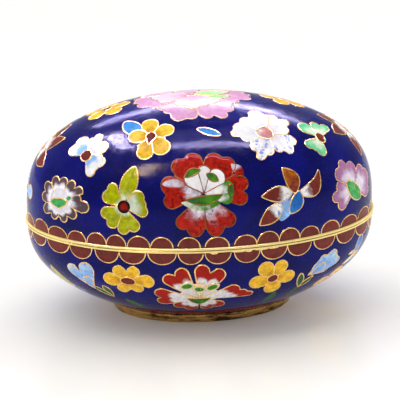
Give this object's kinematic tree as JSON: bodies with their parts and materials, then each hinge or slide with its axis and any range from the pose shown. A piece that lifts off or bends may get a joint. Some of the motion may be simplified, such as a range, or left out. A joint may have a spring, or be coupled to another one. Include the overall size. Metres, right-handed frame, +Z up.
{
  "type": "cloisonne enamel box",
  "caption": "Oval lidded trinket box with a domed lid and a deep bowl, enamelled with wire-outlined flowers on cobalt blue, edged with gilt rims and standing on a low brass foot ring.",
  "frame": {"origin": "middle of the foot ring's underside", "axes": "+Z up through the crown of the lid, +X along the oval's long axis, -Y towards the side the picture shows"},
  "size_m": [0.1006, 0.0686, 0.0628],
  "materials": {
    "lid_enamel": "polished vitreous enamel, cobalt ground with coloured flower cells in gilt wire, on copper",
    "bowl_enamel": "polished vitreous enamel, cobalt ground with coloured flower cells in gilt wire, on copper",
    "rim_brass": "bright gilt, lightly worn",
    "foot_brass": "aged brass, brown in the corners"
  },
  "bodies": {
    "root": {"lid_shell": "lid_enamel", "lid_rim": "rim_brass", "bowl_shell": "bowl_enamel", "bowl_rim": "rim_brass", "foot_ring": "foot_brass"}
  },
  "joints": []
}
